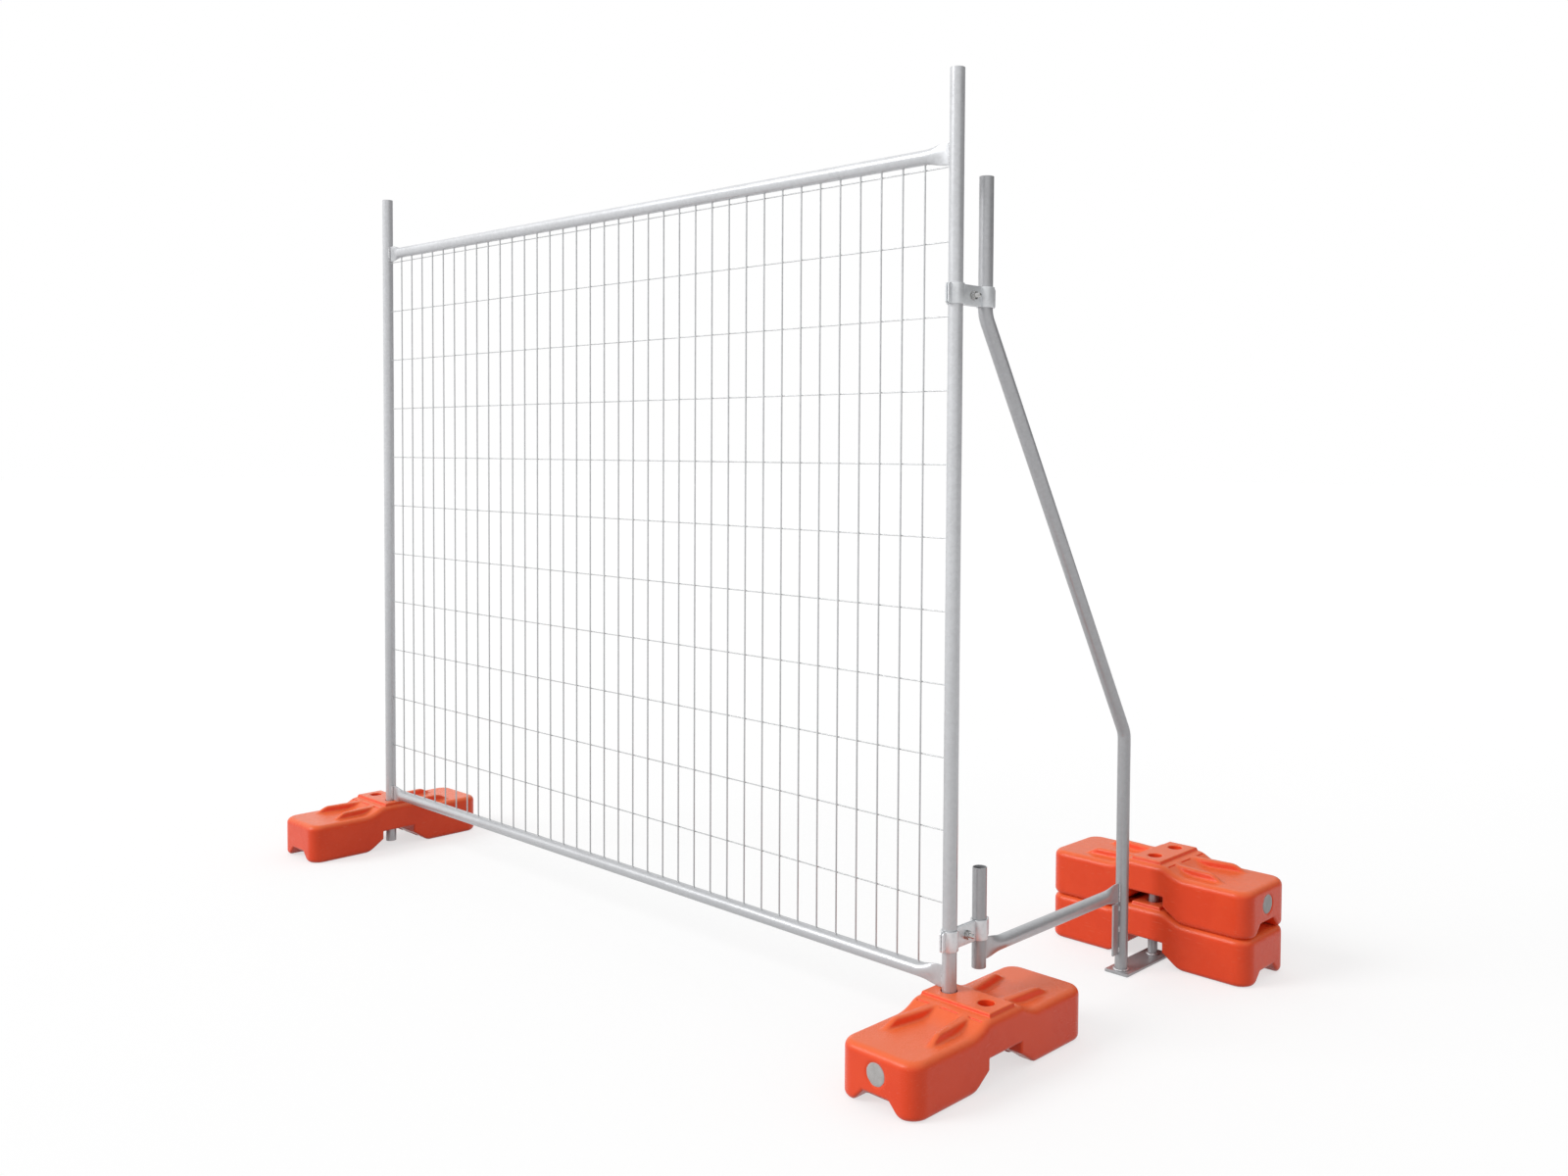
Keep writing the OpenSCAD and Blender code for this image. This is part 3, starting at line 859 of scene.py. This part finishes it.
block_axes = (
    lattice(-BLOCK_HALF_L, BLOCK_HALF_L, [FINE_GROOVE, FINE_PAD_X]),
    lattice(-BLOCK_HALF_W, BLOCK_HALF_W, [FINE_PAD_Y]),
    lattice(0.0, PAD_Z, [FINE_PAD_TOP]),
)
block_points, block_quads = surface_net(block_distance, block_axes)
for _ in range(NET_PULLS):
    slope, gap = steepest(block_distance, block_points)
    pull = gap / np.maximum((slope**2).sum(axis=1), NET_LEAST_SLOPE)
    block_points -= np.clip(pull, -NET_MOST_PULL, NET_MOST_PULL)[:, None] * slope

ORANGE_DEEP = (0.87, 0.066, 0.015)
ORANGE_FRESH = (0.92, 0.080, 0.020)
# The paler orange of upward faces: a painted sheen of the sky above, partly also sun bleaching.
ORANGE_SHEEN_AND_BLEACH = (0.90, 0.155, 0.045)
ORANGE_SCUFFED = (0.90, 0.30, 0.17)
HAZE_SCALE = 7.0
GRAIN_SCALE = 900.0
SCUFF_SCALE = 38.0
SCUFF_STRETCH = (1.0, 5.0, 5.0)
SCUFF_EDGES = (0.63, 0.74)
SCUFF_SHARE = 0.16
SHELL_SHIFT = 7.0
SHELL_RELIEF = 0.0005
shell_finish, on_shell = new_finish("orange_polyethylene")
each_block = on_shell.node("ShaderNodeObjectInfo", output="Random") * SHELL_SHIFT
spread = each_block.node("ShaderNodeVectorMath", {"operation": "ADD"}, {0: on_shell, 1: each_block})
haze = spread.noise(HAZE_SCALE, detail=4.0)
grain = spread.noise(GRAIN_SCALE, detail=2.0)
scuff = spread.stretched(*SCUFF_STRETCH).noise(SCUFF_SCALE, detail=5.0).span(*SCUFF_EDGES)
faced = on_shell.node("ShaderNodeTexCoord", output="Normal")
upward = faced.node("ShaderNodeSeparateXYZ", {}, {0: faced}, "Z")
orange = haze.span(*NOISE_REACH).between(ORANGE_DEEP, ORANGE_FRESH)
# Upward faces turn paler and more orange: a painted sheen of the bright sky, partly also sun bleaching.
sheened_and_bleached = orange.tinted(upward.span(0.1, 1.0), ORANGE_SHEEN_AND_BLEACH)
set_finish(
    shell_finish,
    {
        "Base Color": sheened_and_bleached.tinted(scuff * SCUFF_SHARE, ORANGE_SCUFFED),
        "Roughness": (haze * 0.5 + grain * 0.3 + scuff * 0.4).span(0.2, 1.0, 0.25, 0.42),
        "Specular IOR Level": 0.30,
    },
    grain * 0.5 + haze * 0.5,
    SHELL_RELIEF,
)
shell_mesh = new_mesh("moulded_block", block_points * MM, block_quads.tolist(), shell_finish)

CONCRETE_DARK = (0.42, 0.41, 0.40)
CONCRETE_PALE = (0.55, 0.54, 0.53)
SAND_SCALE = 700.0
BLOTCH_SCALE = 60.0
CONCRETE_RELIEF = 0.0006
concrete_finish, on_concrete = new_finish("concrete_fill")
sand = on_concrete.noise(SAND_SCALE, detail=4.0)
mottle = sand * 0.5 + on_concrete.noise(BLOTCH_SCALE) * 0.5
set_finish(
    concrete_finish,
    {
        "Base Color": mottle.span(*NOISE_REACH).between(CONCRETE_DARK, CONCRETE_PALE),
        "Roughness": 0.85,
    },
    sand,
    CONCRETE_RELIEF,
)

FILL_PROFILE = ((0.2, 0.0), (1.0, 0.0), (1.0, 1.6), (0.97, 2.0), (0.8, 2.1), (0.4, 2.25), (0.05, 2.3))
FILL_RAGGED = 0.018
FILL_CHIP = 0.03
FILL_CHIP_TURN = 2.3
FILL_CHIP_SPREAD = 0.08
FILL_SHARP = 50.0
QUARTER = math.pi / 2


def fill_face():
    """The grey face of the fill in its hole, cast against a slightly ragged edge with one chip."""
    turn = np.arange(ROUND) * 2 * math.pi / ROUND
    ragged = 1 - FILL_RAGGED * (1 + np.sin(3 * turn + 0.7) * np.cos(5 * turn))
    ragged -= FILL_CHIP * np.exp(-((turn - FILL_CHIP_TURN) ** 2) / FILL_CHIP_SPREAD)
    rings = [circle(FILL_RADIUS * share * ragged, rise) * MM for share, rise in FILL_PROFILE]
    out = Matrix.Translation((-(BLOCK_HALF_L - FILL_DEEP) * MM, 0.0, FILL_Z * MM))
    return moved(loft(rings), out @ Matrix.Rotation(-QUARTER, 4, "Y"))


def add_block(name, turn):
    """One moulded block with the face of its fill, turned about the vertical in its CAD place."""
    low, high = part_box(f"{name}_shell")
    stand = standing((low.x + high.x) / 2, (low.y + high.y) / 2, low.z, turn)
    shell = bpy.data.objects.new(f"{name}_block", shell_mesh)
    shell.matrix_world = stand
    scene.collection.objects.link(shell)
    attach(shell, name)
    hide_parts(f"{name}_shell")
    face = moved(fill_face(), stand)
    add_piece(
        f"{name}_fill_face", face, concrete_finish, name, [f"{name}_fill"], FILL_SHARP
    )


add_block("left_foot", -QUARTER)
add_block("right_foot", QUARTER)


# Clamps
# Two pressed steel jaws close round the post and the stay from both sides, drawn together by a
# bolt through the web between them. The jaws have short lips past the tubes at both ends.
JAW_THICK = 0.0035
JAW_GAP = 0.0015
JAW_CLEAR = 0.00005
JAW_LIP = 0.009
JAW_BEND = 0.002
JAW_EDGE = 0.0007
JAW_EDGE_POINTS = 4
JAW_SAMPLES = 1600
JAW_STEP = 0.0012
JAW_NOSE_DROP = 0.004
JAW_NOSE_REACH = 0.005
CLAMP_GREY = (0.81, 0.83, 0.85)
CLAMP_RUNS = (0.4, 0.4, 0.4)
# The clamps get only a little of the painted shade near the ground.
CLAMP_GROUND_SHADE = 0.15
PLATED_DARK = (0.46, 0.46, 0.45)
PLATED_PALE = (0.60, 0.60, 0.60)
PLATED_SCALE = 160.0
PLATED_RELIEF = 0.0002
clamp_pitch = middle("stay_stub").y - right_post.y
clamp_finish = galvanised("galvanised_clamp", CLAMP_GREY, CLAMP_RUNS, CLAMP_GROUND_SHADE)
plated_finish, on_plated = new_finish("zinc_plating")
plated_cloud = on_plated.noise(PLATED_SCALE)
set_finish(
    plated_finish,
    {
        "Base Color": plated_cloud.span(*NOISE_REACH).between(PLATED_DARK, PLATED_PALE),
        "Metallic": 0.95,
        "Roughness": plated_cloud.span(*NOISE_REACH, 0.22, 0.38),
    },
    plated_cloud,
    PLATED_RELIEF,
)


def jaw_line():
    """The middle line of a jaw's sheet, from lip to lip round both tubes."""
    cup = post_radius + JAW_CLEAR + JAW_THICK / 2
    web = JAW_GAP + JAW_THICK / 2
    reach = cup + JAW_THICK / 2 + JAW_LIP
    y = np.linspace(-reach, clamp_pitch + reach, JAW_SAMPLES)
    cups = [np.sqrt(np.clip(cup**2 - (y - at) ** 2, 0.0, None)) for at in (0.0, clamp_pitch)]
    bulge = np.maximum(*cups)
    x = -blended(-bulge, np.full_like(y, -web), JAW_BEND)
    x = np.where(bulge > web + JAW_BEND, bulge, x)
    return resampled(np.column_stack([x, y, np.zeros_like(y)]), JAW_STEP)


def jaw_section(half_high):
    """A rounded rectangle of the sheet's thickness and the jaw's height."""
    half_thick = JAW_THICK / 2
    points = []
    for sx, sz, start in ((1, 1, 0.0), (-1, 1, 0.5), (-1, -1, 1.0), (1, -1, 1.5)):
        for step in np.linspace(0.0, 0.5, JAW_EDGE_POINTS):
            turn = (start + step) * math.pi
            points.append(
                (
                    sx * (half_thick - JAW_EDGE) + JAW_EDGE * math.cos(turn),
                    sz * (half_high - JAW_EDGE) + JAW_EDGE * math.sin(turn),
                )
            )
    return np.array(points)


def jaw(high):
    """One jaw on the +X side of the tubes, with rounded corners at its lips."""
    line = jaw_line()
    along = headings(line)
    across = np.column_stack([along[:, 1], -along[:, 0], np.zeros(len(line))])
    rings = []
    for place, sideways in zip(line, across):
        from_end = min(place[1] - line[0][1], line[-1][1] - place[1])
        nose = JAW_NOSE_DROP * max(0.0, 1 - from_end / JAW_NOSE_REACH) ** 2
        section = jaw_section(high / 2 - nose)
        rings.append(place + section[:, :1] * sideways + section[:, 1:] * np.array([0.0, 0.0, 1.0]))
    return loft(rings)


HEX_POINTS = 36
HEAD_PROFILE = ((0.96, 0.0), (1.0, 0.05), (1.0, 0.84), (0.93, 1.0))
NUT_PROFILE = ((0.93, 0.0), (1.0, 0.12), (1.0, 0.88), (0.93, 1.0))
NUT_RIM = 0.0006
NUT_BORE = ((NUT_RIM, 1.0), (0.0, 0.93), (0.0, 0.07), (NUT_RIM, 0.0))
THREAD_PITCH = 0.0015
THREAD_DEEP = 0.0008
THREAD_SIDES = 24
THREAD_RINGS = 6
THREAD_TIP = 0.0015
THREAD_TIP_SLOPE = 0.7


def hexagon(across, z):
    """Points round a level hexagon."""
    turn = np.arange(HEX_POINTS) * 2 * math.pi / HEX_POINTS
    sector = (turn + math.pi / 6) % (math.pi / 3) - math.pi / 6
    return circle(across / 2 / np.cos(sector), z, HEX_POINTS)


def hex_head(across, high):
    """A chamfered hexagon head from z 0 up."""
    return loft([hexagon(across * share, high * level) for share, level in HEAD_PROFILE])


def hex_nut(across, high, bore):
    """A chamfered hexagon nut from z 0 up, with its bore."""
    outer = [hexagon(across * share, high * level) for share, level in NUT_PROFILE]
    inner = [circle(bore + rim, high * level, HEX_POINTS) for rim, level in NUT_BORE]
    return loft(outer + inner, loop=True)


def threaded_shank(radius, length, bare):
    """A bolt shank from z 0 up: a bare stretch, then a helical thread with a chamfered tip."""
    turn = np.arange(THREAD_SIDES) / THREAD_SIDES
    rings = [circle(radius, z, THREAD_SIDES) for z in (0.0, bare)]
    for z in np.arange(bare, length, THREAD_PITCH / THREAD_RINGS):
        wave = np.abs((z / THREAD_PITCH - turn) % 1.0 - 0.5) * 2
        tip = max(0.0, z - length + THREAD_TIP)
        rings.append(circle(radius - THREAD_DEEP * wave - tip * THREAD_TIP_SLOPE, z, THREAD_SIDES))
    return loft(rings)


BOLT_RADIUS = 0.005
WASHER_PLAY = 0.0005
WASHER_EDGE = 0.0003
NUT_PLAY = 0.00008
along_x = Matrix.Rotation(QUARTER, 4, "Y")
mirrored_x = Matrix.Diagonal((-1.0, 1.0, 1.0, 1.0))
head_down = Matrix.Rotation(math.pi, 4, "X")
for name in ("lower_clamp", "upper_clamp"):
    low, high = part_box(f"{name}_fixed_jaw")
    stand = standing(right_post.x, right_post.y, (low.z + high.z) / 2)
    jaw_shape = jaw(high.z - low.z)
    add_piece(
        f"{name}_back_jaw",
        moved(jaw_shape, stand @ mirrored_x),
        clamp_finish,
        name,
        [f"{name}_fixed_jaw"],
    )
    add_piece(
        f"{name}_front_jaw",
        moved(jaw_shape, stand),
        clamp_finish,
        f"{name}_jaw",
        [f"{name}_loose_jaw"],
    )
    bolt_low, bolt_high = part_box(f"{name}_bolt")
    washer_low, washer_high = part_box(f"{name}_washer")
    nut_low, nut_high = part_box(f"{name}_nut")
    across_flats = min(bolt_high.y - bolt_low.y, bolt_high.z - bolt_low.z)
    head_high = right_post.x - JAW_GAP - JAW_THICK - bolt_low.x
    shank = threaded_shank(BOLT_RADIUS, bolt_high.x - bolt_low.x, head_high + 2 * JAW_THICK)
    head = moved(hex_head(across_flats, head_high), Matrix.Translation((0.0, 0.0, head_high)) @ head_down)
    washer_radius = (washer_high.z - washer_low.z) / 2
    washer_wall = washer_radius - BOLT_RADIUS - WASHER_PLAY
    washer = pipe(washer_radius, washer_wall, 0.0, washer_high.x - washer_low.x, WASHER_EDGE)
    nut = hex_nut(across_flats, nut_high.x - nut_low.x, BOLT_RADIUS + NUT_PLAY)
    bolt_axis = middle(f"{name}_bolt")
    for kind, shape, start, body, node in (
        ("hex_bolt", joined([shank, head]), bolt_low.x, name, "bolt"),
        ("flat_washer", washer, washer_low.x, f"{name}_jaw", "washer"),
        ("hex_nut", nut, nut_low.x, f"{name}_nut", "nut"),
    ):
        add_piece(
            f"{name}_{kind}",
            moved(shape, Matrix.Translation((start, bolt_axis.y, bolt_axis.z)) @ along_x),
            plated_finish,
            body,
            [f"{name}_{node}"],
        )


# Back stay
# One tube of the posts' size, bent twice: upright in the upper clamp, leaning back, and upright again
# down to a base plate. A rail with fishtail ends ties its foot to a short stub in the lower clamp, a
# flat strip stiffens the foot, and an upright pin on the plate takes the ballast.
STAY_LEAN = math.radians(30.3)
STAY_GREY = (0.51, 0.515, 0.53)
BEND_RADIUS = 0.060
BEND_STEPS = 14
BEND_LEAD = 0.05
BEND_OVAL = 0.06
OPEN_DEEP = 0.25

head_low, head_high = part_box("stay_head_tube")
foot_low, foot_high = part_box("stay_upright_tube")
stay_x = middle("stay_head_tube").x
head_y = middle("stay_head_tube").y
foot_y = middle("stay_upright_tube").y


def stay_line():
    """Points down the stay's axis in its plane, with how far into a bend each one is."""
    steps = np.linspace(0.0, 1.0, BEND_STEPS)
    bends = [(head_y + BEND_RADIUS, head_low.z, math.pi + t * STAY_LEAN, t) for t in steps]
    bends += [(foot_y - BEND_RADIUS, foot_high.z, (1 - t) * STAY_LEAN, t) for t in steps]
    points = [(head_y, head_high.z, 0.0), (head_y, head_low.z + BEND_LEAD, 0.0)]
    for y, z, turn, t in bends:
        points.append(
            (y + BEND_RADIUS * math.cos(turn), z + BEND_RADIUS * math.sin(turn), math.sin(math.pi * t))
        )
    return points + [(foot_y, foot_low.z, 0.0)]


def stay_tube():
    """The bent tube with its open top end, a little oval in the bends."""
    line = stay_line()
    spine = np.array([(stay_x, y, z) for y, z, _ in line])
    along = headings(spine)
    sideways = np.array([1.0, 0.0, 0.0])
    unit = circle(1.0, 0.0)[:, :2]
    inner = post_radius - POST_WALL
    mouth = (
        (inner, OPEN_DEEP),
        (inner, CUT_EDGE),
        (inner + CUT_EDGE, 0.0),
        (post_radius - CUT_EDGE, 0.0),
        (post_radius, CUT_EDGE),
    )
    rings = [spine[0] + circle(radius, -drop) for radius, drop in mouth]
    for (_, _, bend), place, heading in list(zip(line, spine, along))[1:]:
        outward = np.cross(sideways, heading)
        wide = post_radius * (1 + BEND_OVAL * bend / 2)
        thin = post_radius * (1 - BEND_OVAL * bend)
        rings.append(place + unit[:, :1] * wide * sideways + unit[:, 1:] * thin * outward)
    return loft(rings)


stay_finish = galvanised("galvanised_stay", STAY_GREY, ALONG_Z)
add_piece(
    "stay_bent_tube",
    stay_tube(),
    stay_finish,
    "stay",
    ["stay_head_tube", "stay_upper_bend", "stay_diagonal_tube", "stay_lower_bend", "stay_upright_tube"],
)
add_piece(
    "stay_stub_tube",
    upright_tube("stay_stub", post_radius, POST_WALL),
    stay_finish,
    "stay",
    ["stay_stub"],
)
rail_low, rail_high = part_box("stay_rail")
rail_middle = middle("stay_rail")
rail_tall = rail_high.z - rail_low.z
stay_rail = moved(fishtail_rail(rail_high.y - rail_low.y, rail_tall), standing(*rail_middle, QUARTER))
add_piece("stay_rail_tube", stay_rail, rail_finish, "stay", ["stay_rail"])

GUSSET_EDGE = 0.0008
PLATE_EDGE = 0.0016
PLATE_RUNS = (0.5, 0.5, 0.5)
# The plates get part of the painted shade near the ground.
PLATE_GROUND_SHADE = 0.4
PIN_WALL = 0.003
PIN_EDGE = 0.001


def bevelled_plate(low, high, edge):
    """A flat bar or plate with slightly rounded edges, from its corners."""
    rings = []
    for inset, z in ((edge, low.z), (0.0, low.z + edge), (0.0, high.z - edge), (edge, high.z)):
        x0, x1, y0, y1 = low.x + inset, high.x - inset, low.y + inset, high.y - inset
        rings.append(
            [
                (x1, y0 + edge, z), (x1, y1 - edge, z), (x1 - edge, y1, z), (x0 + edge, y1, z),
                (x0, y1 - edge, z), (x0, y0 + edge, z), (x0 + edge, y0, z), (x1 - edge, y0, z),
            ]
        )
    return loft(rings)


plate_finish = galvanised("galvanised_plate", STAY_GREY, PLATE_RUNS, PLATE_GROUND_SHADE)
for bar, edge in (("stay_gusset", GUSSET_EDGE), ("base_plate", PLATE_EDGE)):
    plate = bevelled_plate(*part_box(bar), edge)
    add_piece(f"{bar}_bar", plate, plate_finish, "stay", [bar])
pin = middle("ballast_pin")
pin_low, pin_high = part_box("ballast_pin")
pin_radius = (pin_high.x - pin_low.x) / 2
add_piece(
    "ballast_pin_tube",
    upright_tube("ballast_pin", pin_radius, PIN_WALL, PIN_EDGE),
    stay_finish,
    "stay",
    ["ballast_pin"],
)

RING_POINTS = 64
STITCH = 0.014
STITCH_RADIUS = 0.0028
STITCH_COUNT = 3
STITCH_LOW = 0.004
STITCH_HIGH = 0.02


def ring_bead(x, y, z, radius):
    """A bead round the foot of an upright tube on a plate."""
    return bead(circle(radius + BEAD_OFF, BEAD_OFF, RING_POINTS) + np.array([x, y, z]), loop=True)


gusset_low, gusset_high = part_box("stay_gusset")
stay_beads = [
    ring_bead(stay_x, foot_y, pin_low.z, post_radius),
    ring_bead(pin.x, pin.y, pin_low.z, pin_radius),
]
for y, turn in ((middle("stay_stub").y, QUARTER), (foot_y, -QUARTER)):
    stand = standing(middle("stay_stub").x, y, rail_middle.z, turn)
    stay_beads.append(moved(corner_bead(post_radius, rail_tall), stand))
for z in np.linspace(gusset_low.z + STITCH_LOW, gusset_high.z - STITCH_HIGH, STITCH_COUNT):
    path = [(gusset_high.x, gusset_high.y, level) for level in (z, z + STITCH)]
    stay_beads.append(bead(path, STITCH_RADIUS))
add_piece(
    "stay_weld_beads", joined(stay_beads), weld_finish, "stay", ["stay_welds"], BEAD_SHARP
)


# Ballast
# Two more of the same blocks, stacked head to tail on the stay's pin to hold its foot down. The
# fins of the lower block key into the upper one.
add_block("lower_ballast", 0.0)
add_block("upper_ballast", math.pi)
